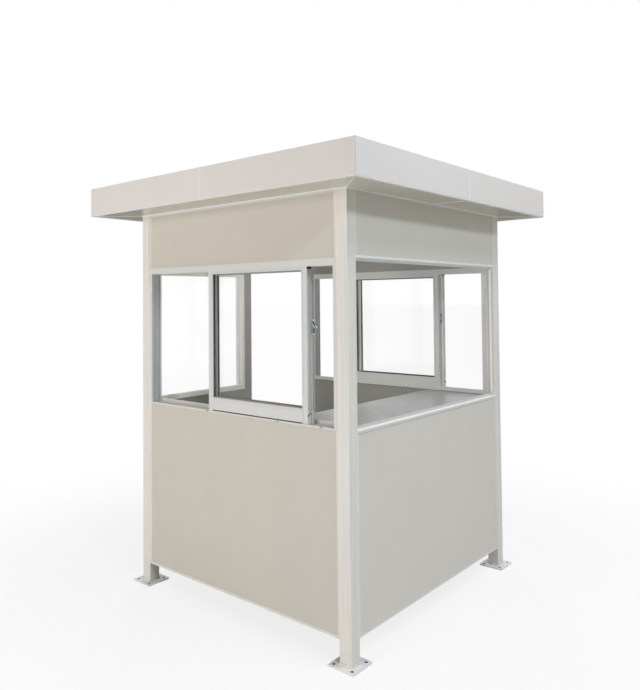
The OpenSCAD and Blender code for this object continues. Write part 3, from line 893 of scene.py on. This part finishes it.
class BOOTH_OT_soffit_trims(bpy.types.Operator):
    """Bright trim where the soffit meets the walls, cover strips on its joints, and the drip edge"""
    bl_idname = "booth.soffit_trims"
    bl_label = "Soffit trims"

    def execute(self, context):
        post_low, post_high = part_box("post_front_left")[0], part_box("post_back_right")[1]
        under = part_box("soffit_panels")[0].z
        drop, leg, sheet = sizes().trim_drop, 6 * MM, 1.2 * MM
        section = [(0, 0), (0, -drop), (sheet, -drop), (sheet, -sheet), (leg, -sheet), (leg, 0)]
        bm = bmesh.new()
        loop_sweep(bm, [[Vector((x + sx * a, y + sy * a, under + z)) for a, z in section]
                        for x, y, sx, sy in (
                            (post_low.x, post_low.y, -1, -1), (post_high.x, post_low.y, 1, -1),
                            (post_high.x, post_high.y, 1, 1), (post_low.x, post_high.y, -1, 1))])
        new_piece("soffit_wall_trim", bm, "bright_trim")
        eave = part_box("fascia_right")[1].x - 2 * MM
        wall_x = post_high.x + leg
        bm = bmesh.new()
        for quarter in range(4):
            turn = Matrix.Rotation(quarter * math.pi / 2, 3, "Z")
            if quarter % 2 == 0:
                self.strip(bm, turn @ Vector((wall_x, 0, under)), turn @ Vector((eave, 0, under)))
            self.strip(bm, turn @ Vector((wall_x, wall_x, under)),
                       turn @ Vector((eave - 3 * MM, eave - 3 * MM, under)))
        new_piece("soffit_cover_strips", bm, "bright_trim")
        self.drip_edge()
        return {"FINISHED"}

    def drip_edge(self):
        """A fine bright bead along the fascia's lower edge."""
        low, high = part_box("fascia_right")
        radius = 1.8 * MM
        section = [(high.x + radius * (c - 1), low.z + radius * s) for c, s in spokes(8)]
        bm = bmesh.new()
        loop_sweep(bm, [[Vector((sx * reach, sy * reach, z)) for reach, z in section]
                        for sx, sy in ((-1, -1), (1, -1), (1, 1), (-1, 1))])
        new_piece("fascia_drip_edge", bm, "bright_trim")

    def strip(self, bm, start, end):
        """A shallow crowned strip on the underside of the soffit."""
        travel = end - start
        over = travel.cross(Vector((0, 0, 1))).normalized()
        half = sizes().strip_width / 2
        rise = 1.1 * MM
        section = [(-half, 0), (-half * 0.7, -rise), (half * 0.7, -rise), (half, 0)]
        prism(bm, [start + a * over + Vector((0, 0, z)) for a, z in section], travel)


# ---------------------------------------------------------------- repeated parts

SOCKETS = {float: "NodeSocketFloat", int: "NodeSocketInt", tuple: "NodeSocketVector"}


def input_socket(tree, name, kind, default=None):
    """Adds a named input to a node tree and returns its identifier."""
    made = tree.interface.new_socket(name, in_out="INPUT", socket_type=kind)
    if default is not None:
        made.default_value = default
    return made.identifier


def new_tree(name, wanted):
    """A geometry tree with a Geometry input and output, a Material and the wanted inputs."""
    tree = bpy.data.node_groups.new(name, "GeometryNodeTree")
    input_socket(tree, "Geometry", "NodeSocketGeometry")
    keys = {label: input_socket(tree, label, SOCKETS[type(value)], value)
            for label, value in wanted.items()}
    keys["Material"] = input_socket(tree, "Material", "NodeSocketMaterial")
    tree.interface.new_socket("Geometry", in_out="OUTPUT", socket_type="NodeSocketGeometry")
    return tree, keys, add(tree, "NodeGroupInput").outputs


def realised(tree, instances, material_socket):
    """Ends a tree: plain mesh with its material."""
    real = add(tree, "GeometryNodeRealizeInstances", {"Geometry": instances})
    done = add(tree, "GeometryNodeSetMaterial", {"Geometry": real, "Material": material_socket})
    add(tree, "NodeGroupOutput", {"Geometry": done})


def screw_tree():
    """Screw heads with washers on points: sizes of both, sides, facing and the turns' seed."""
    tree, keys, given = new_tree("screw_heads", {
        "Head Width": 0.008, "Head Height": 0.004, "Washer Width": 0.014,
        "Washer Height": 0.0015, "Sides": 6, "Facing": (0, 0, 1), "Seed": 3})
    head_radius, washer_radius = [
        add(tree, "ShaderNodeMath", {0: given[width], 1: 0.5}, operation="MULTIPLY")
        for width in ("Head Width", "Washer Width")]
    head = add(tree, "GeometryNodeMeshCylinder", {
        "Vertices": given["Sides"], "Radius": head_radius, "Depth": given["Head Height"]})
    washer = add(tree, "GeometryNodeMeshCone", {
        "Vertices": 16, "Radius Bottom": washer_radius, "Radius Top": head_radius,
        "Depth": given["Washer Height"]})
    half = add(tree, "ShaderNodeMath", {
        0: given["Head Height"], 1: 0.5, 2: given["Washer Height"]}, operation="MULTIPLY_ADD")
    lift = add(tree, "ShaderNodeCombineXYZ", {"Z": half})
    raised = add(tree, "GeometryNodeTransform", {"Geometry": head, "Translation": lift})
    whole = add(tree, "GeometryNodeJoinGeometry")
    for part in (raised, washer):
        tree.links.new(part.outputs[0], whole.inputs[0])
    faced = add(tree, "FunctionNodeAlignRotationToVector", {"Vector": given["Facing"]}, axis="Z")
    turn = add(tree, "FunctionNodeRandomValue", {
        "Min": (0, 0, 0), "Max": (0, 0, 2 * math.pi), "Seed": given["Seed"]},
        data_type="FLOAT_VECTOR")
    spin = add(tree, "FunctionNodeEulerToRotation", {"Euler": turn})
    turned = add(tree, "FunctionNodeRotateRotation", {
        "Rotation": faced, "Rotate By": spin}, rotation_space="LOCAL")
    placed = add(tree, "GeometryNodeInstanceOnPoints", {
        "Points": given["Geometry"], "Instance": whole, "Rotation": turned})
    realised(tree, placed, given["Material"])
    return tree, keys


def weld_tree():
    """Overlapping ripples along closed edges: leg, pitch and the seed of their sizes."""
    tree, keys, given = new_tree("weld_ripples", {"Leg": 0.006, "Pitch": 0.0045, "Seed": 5})
    path = add(tree, "GeometryNodeMeshToCurve", {"Mesh": given["Geometry"]})
    spaced = add(tree, "GeometryNodeResampleCurve", {
        "Curve": path, "Length": given["Pitch"]}, mode="LENGTH")
    radius = add(tree, "ShaderNodeMath", {0: given["Leg"], 1: 0.8}, operation="MULTIPLY")
    bead = add(tree, "GeometryNodeMeshUVSphere", {"Segments": 10, "Rings": 6, "Radius": radius})
    scatter = add(tree, "FunctionNodeRandomValue", {
        "Min": (0.75, 0.85, 0.85), "Max": (0.9, 1.05, 1.05), "Seed": given["Seed"]},
        data_type="FLOAT_VECTOR")
    along = add(tree, "FunctionNodeAlignRotationToVector", {
        "Vector": add(tree, "GeometryNodeInputTangent")}, axis="X")
    placed = add(tree, "GeometryNodeInstanceOnPoints", {
        "Points": spaced, "Instance": bead, "Rotation": along, "Scale": scatter})
    realised(tree, placed, given["Material"])
    return tree, keys


def grown(name, base, tree, keys, values, sharp_turn):
    """Runs a tree on a base mesh and settles the plain result as a piece."""
    obj = bpy.data.objects.new(name + "_base", base)
    bpy.context.scene.collection.objects.link(obj)
    modifier = obj.modifiers.new("grow", "NODES")
    modifier.node_group = tree
    for label, value in values.items():
        modifier[keys[label]] = value
    graph = bpy.context.evaluated_depsgraph_get()
    mesh = bpy.data.meshes.new_from_object(obj.evaluated_get(graph))
    obj.modifiers.remove(modifier)
    bpy.data.objects.remove(obj)
    if not mesh.polygons:
        raise RuntimeError(f"{name} came out empty")
    mesh.name = name
    mesh.shade_smooth()
    mesh.set_sharp_from_angle(angle=math.radians(sharp_turn))
    return settle(name, mesh, None)


def point_mesh(name, points, edges=()):
    """A mesh of bare points, with edges where a tree follows them."""
    mesh = bpy.data.meshes.new(name)
    mesh.from_pydata([tuple(point) for point in points], list(edges), [])
    return mesh


class BOOTH_OT_screws(bpy.types.Operator):
    """Black screws at the foot of the outer sashes' stiles, their black also painted shade of the
    screw holes, and screws along the ribs of the roof
    """
    bl_idname = "booth.screws"
    bl_label = "Screws"

    def execute(self, context):
        tree, keys = screw_tree()
        height = 43 * MM                            # of a pair's middle above the stile's foot
        for facing, end in ((-1, 0), (1, 1)):
            points = []
            for side in ("front", "back"):
                sash = f"{side}_outer_sash"
                wall = WALLS[side]
                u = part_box(sash)[end][wall.along]
                middle = sum(wall.depths(sash)) / 2
                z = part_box(sash)[0].z + height
                points += [wall.at(u, middle + step * 6.5 * MM, z + step * 3 * MM)
                           for step in (-1, 1)]
            # Black heads: screws, and painted shade of the screw holes.
            name = "stile_screws_left" if facing < 0 else "stile_screws_right"
            grown(name, point_mesh(name, points), tree, keys, {
                "Head Width": 8.6 * MM, "Head Height": 1.2 * MM, "Washer Width": 9.4 * MM,
                "Washer Height": 0.5 * MM, "Sides": 14, "Facing": (facing, 0, 0),
                "Material": material("gasket_rubber")}, 40)
        grown("roof_screws", point_mesh("roof_screws", self.roof_points()), tree, keys, {
            "Head Width": sizes().screw_head, "Head Height": 4.5 * MM,
            "Washer Width": 15 * MM, "Washer Height": 1.6 * MM, "Sides": 6,
            "Material": material("latch_metal")}, 30)
        return {"FINISHED"}

    def roof_points(self):
        """Points along the middle of each rib, clear of the fascia's flanges."""
        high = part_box("roof_deck")[1]
        tops = sorted({round(v.co.x, 5) for v in NODES["roof_deck"].data.vertices
                       if v.co.z > high.z - MM})
        ribs = [(a + b) / 2 for a, b in zip(tops[::2], tops[1::2])]
        margin = 80 * MM
        reach = high.y - margin
        rows = sizes().screw_rows
        return [(x, -reach + 2 * reach * row / (rows - 1), high.z)
                for x in ribs for row in range(rows)]


class BOOTH_OT_welds(bpy.types.Operator):
    """Fillet welds round each corner post's foot, and the bare walls of the plates' bolt holes, dark
    as painted shade
    """
    bl_idname = "booth.welds"
    bl_label = "Welds"

    def execute(self, context):
        tree, keys = weld_tree()
        points, edges = [], []
        out = sizes().weld_leg * 0.3                # of the ripples' path from post and plate
        corner, steps = 4 * MM, 4                   # round of a post's corner, and its steps
        plate_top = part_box("base_plates")[1].z
        for name in ("front_left", "front_right", "back_right", "back_left"):
            low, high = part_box(f"post_{name}")
            first = len(points)
            for quarter, (x, y) in enumerate((
                    (high.x - corner, high.y - corner), (low.x + corner, high.y - corner),
                    (low.x + corner, low.y + corner), (high.x - corner, low.y + corner))):
                for i in range(steps + 1):
                    turn = math.pi / 2 * (quarter + i / steps)
                    points.append((x + (corner + out) * math.cos(turn),
                                   y + (corner + out) * math.sin(turn), plate_top + out))
            count = len(points) - first
            edges += [(first + i, first + (i + 1) % count) for i in range(count)]
        grown("post_foot_welds", point_mesh("weld_paths", points, edges), tree, keys, {
            "Leg": sizes().weld_leg, "Pitch": sizes().weld_pitch,
            "Material": material("post_paint")}, 60)
        self.hole_walls(plate_top)
        return {"FINISHED"}

    def hole_walls(self, plate_top):
        """Thin dark linings of bare steel, since the holes were drilled through the finished plates;
        their near-black is painted shade inside the holes.
        """
        middle, half = plate_square()
        inset = half - 20 * MM                      # of a hole from its plate's middle
        low, high = 0.2 * MM, plate_top - 0.2 * MM
        outer, inner = 7.1 * MM, 6.4 * MM
        section = [(outer, low), (inner, low), (inner, high), (outer, high)]
        places = [side * middle + hole * inset for side in (-1, 1) for hole in (-1, 1)]
        bm = bmesh.new()
        for x in places:
            for y in places:
                loop_sweep(bm, [[Vector((x + r * c, y + r * s, z)) for r, z in section]
                                for c, s in spokes(24)])
        new_piece("bolt_hole_walls", bm, "cut_steel")


# ---------------------------------------------------------------- stage

# Nodes whose finish differs from that of their record's slot.
FINISHES_APART = {
    "right_head_trim": "bright_trim",
    # The left window's frame takes the whiter trim coat as painted light on its room side.
    "left_window_frame": "bright_trim",
    # The base plates get the lighter enamel, as painted light on their tops.
    "base_plates": "lightened_plate_enamel",
    # The door post's room face gets the lining's painted shade.
    "door_post": "shade_lined_post",
}

# Each lamp: its property, its place and target, its width, its tint, and whether gloss mirrors it.
LAMPS = {
    "front_softbox": ("front_lamp", (-1.3, -6.3, 2.0), (0, 0, 1.3), 2.8, "#fff8f6", False),
    "front_card": ("card_lamp", (-0.6, -3.4, 0.35), (0, -0.5, 2.0), 1.6, "#edf5ff", True),
    "side_softbox": ("side_lamp", (6.3, -2.3, 4.9), (0, 0, 1.5), 0.7, "#e5f5ff", True),
    "high_softbox": ("high_lamp", (3.6, 0.4, 6.5), (0.7, 0, 0.6), 2.5, "#f7f6ff", True),
    "back_softbox": ("back_lamp", (-5.0, 4.6, 2.6), (0, 0, 1.2), 3.0, "#ffffff", False),
    "room_fill": ("room_lamp", (0.25, -0.1, 1.62), (-0.75, -0.05, 1.05), 0.5, "#fffaf4", False),
}


class BOOTH_OT_finishes(bpy.types.Operator):
    """Gives every CAD node the finish of its material slot"""
    bl_idname = "booth.finishes"
    bl_label = "Finishes"

    def execute(self, context):
        for part in frame["record"]["subparts"]:
            mesh = NODES[part["node"]].data
            mesh.materials.clear()
            mesh.materials.append(material(FINISHES_APART.get(part["node"], part["material_slot"])))
        return {"FINISHED"}


def area_lamp(name, power, place, target, size, tint, mirrored):
    """A square lamp that faces the target: hidden from the eye, and from gloss unless mirrored."""
    data = bpy.data.lights.new(name, "AREA")
    data.shape = "SQUARE"
    data.size = size
    data.energy = power
    data.color = linear(tint)
    lamp = bpy.data.objects.new(name, data)
    lamp.location = place
    lamp.visible_camera = False
    lamp.visible_transmission = False
    lamp.visible_glossy = mirrored
    lamp.rotation_euler = (Vector(target) - Vector(place)).to_track_quat("-Z", "Y").to_euler()
    bpy.context.scene.collection.objects.link(lamp)


def hole_shade_under_plates(tree, place):
    """1 under the base plates, where the floor is painted dark as shade inside their bolt holes."""
    middle, half = plate_square()
    margin = 4 * MM
    folded = add(tree, "ShaderNodeVectorMath", {0: place}, operation="ABSOLUTE")
    off = add(tree, "ShaderNodeVectorMath", {0: folded, 1: (middle, middle, 0)},
              operation="SUBTRACT")
    near = add(tree, "ShaderNodeVectorMath", {0: off}, operation="ABSOLUTE")
    split = add(tree, "ShaderNodeSeparateXYZ", {0: near})
    reach = add(tree, "ShaderNodeMath", {0: split.outputs[0], 1: split.outputs[1]},
                operation="MAXIMUM")
    return add(tree, "ShaderNodeMath", {0: reach, 1: half - margin}, operation="LESS_THAN")


def pale_floor():
    """Matt paint, but white to the eye, with a little of the paint's shading near the booth, and
    painted shade under the plates' bolt holes.
    """
    mat, tree, place = new_material("studio_floor")
    reach = add(tree, "ShaderNodeVectorMath", {0: place}, operation="LENGTH")
    near = add(tree, "ShaderNodeMapRange", {
        "Value": reach.outputs["Value"], "From Min": 1.0, "From Max": 3.4,
        "To Min": 0.2, "To Max": 0.0}, interpolation_type="SMOOTHSTEP")
    painted_hole_shade = hole_shade_under_plates(tree, place)
    # Dark under the plates: painted shade seen through the bolt holes.
    shade = add(tree, "ShaderNodeMapRange", {"Value": painted_hole_shade, "To Min": 0.86, "To Max": 0.12})
    paint = add(tree, "ShaderNodeBsdfDiffuse", {"Color": shade})
    glow = add(tree, "ShaderNodeEmission", {"Color": WHITE, "Strength": 1})
    painted = add(tree, "ShaderNodeMath", {0: near, 1: painted_hole_shade}, operation="MAXIMUM")
    blend = add(tree, "ShaderNodeMixShader", {0: painted, 1: glow, 2: paint})
    seen = any_ray(tree, ("Is Camera Ray", "Is Transmission Ray"))
    both = add(tree, "ShaderNodeMixShader", {0: seen, 1: paint, 2: blend})
    add(tree, "ShaderNodeOutputMaterial", {"Surface": both})
    return mat


class BOOTH_OT_stage(bpy.types.Operator):
    """Floor, soft lamps, white surroundings and the camera"""
    bl_idname = "booth.stage"
    bl_label = "Stage"

    def execute(self, context):
        stage = context.scene.booth_stage
        self.world(stage)
        self.floor()
        for name, (power, *shape) in LAMPS.items():
            area_lamp(name, getattr(stage, power), *shape)
        self.camera(stage)
        context.scene.view_settings.view_transform = "Standard"
        return {"FINISHED"}

    def world(self, stage):
        """White to the eye, in mirrors and through glass; a softer warm light for the rest."""
        world = bpy.data.worlds.new("white_room")
        world.use_nodes = True
        tree = world.node_tree
        tree.nodes.clear()
        white = add(tree, "ShaderNodeBackground", {"Color": WHITE})
        light = add(tree, "ShaderNodeBackground", {
            "Color": rgba(linear("#fffff4")), "Strength": stage.ambient})
        seen = any_ray(tree, ("Is Camera Ray", "Is Glossy Ray", "Is Transmission Ray"))
        mix = add(tree, "ShaderNodeMixShader", {0: seen, 1: light, 2: white})
        add(tree, "ShaderNodeOutputWorld", {"Surface": mix})
        bpy.context.scene.world = world

    def floor(self):
        """A floor that runs on past everything the camera sees."""
        half = 150                                  # metres
        mesh = bpy.data.meshes.new("studio_floor")
        mesh.from_pydata([(-half, -half, 0), (half, -half, 0), (half, half, 0), (-half, half, 0)],
                         [], [(0, 1, 2, 3)])
        mesh.materials.append(pale_floor())
        obj = bpy.data.objects.new("studio_floor", mesh)
        bpy.context.scene.collection.objects.link(obj)

    def camera(self, stage):
        data = bpy.data.cameras.new("camera")
        data.lens = stage.lens
        data.shift_y = stage.shift
        camera = bpy.data.objects.new("camera", data)
        yaw, rise, roll = stage.heading, stage.rise, stage.roll
        ahead = Vector((-math.sin(yaw) * math.cos(rise), math.cos(yaw) * math.cos(rise),
                        math.sin(rise)))
        level = Vector((math.cos(yaw), math.sin(yaw), 0))
        top = level.cross(ahead)
        right = math.cos(roll) * level + math.sin(roll) * top
        above = -math.sin(roll) * level + math.cos(roll) * top
        turn = Matrix((right, above, -ahead)).transposed()
        camera.matrix_world = Matrix.Translation(stage.eye) @ turn.to_4x4()
        bpy.context.scene.collection.objects.link(camera)
        bpy.context.scene.camera = camera


STEPS = [BOOTH_OT_finishes, BOOTH_OT_sashes, BOOTH_OT_gaskets, BOOTH_OT_latches,
         BOOTH_OT_window_small_parts, BOOTH_OT_soffit_trims, BOOTH_OT_screws, BOOTH_OT_welds,
         BOOTH_OT_stage]
GROUPS = {"booth_colours": BoothColours, "booth_sizes": BoothSizes, "booth_stage": BoothStage}


class BOOTH_PT_panel(bpy.types.Panel):
    """Lists the booth's steps and values"""
    bl_idname = "BOOTH_PT_panel"
    bl_label = "Guard booth"
    bl_space_type = "VIEW_3D"
    bl_region_type = "UI"
    bl_category = "Booth"

    def draw(self, context):
        for step in STEPS:
            self.layout.operator(step.bl_idname)
        for name, group in GROUPS.items():
            box = self.layout.box()
            box.label(text=group.__doc__)
            for prop in group.__annotations__:
                box.prop(getattr(context.scene, name), prop)


CLASSES = [*GROUPS.values(), *STEPS, BOOTH_PT_panel]


def register():
    for cls in CLASSES:
        bpy.utils.register_class(cls)
    for name, group in GROUPS.items():
        setattr(bpy.types.Scene, name, bpy.props.PointerProperty(type=group))


def unregister():
    for name in GROUPS:
        delattr(bpy.types.Scene, name)
    for cls in reversed(CLASSES):
        bpy.utils.unregister_class(cls)


def main():
    register()
    for step in STEPS:
        group, name = step.bl_idname.split(".")
        getattr(getattr(bpy.ops, group), name)()


if __name__ == "__main__":
    main()
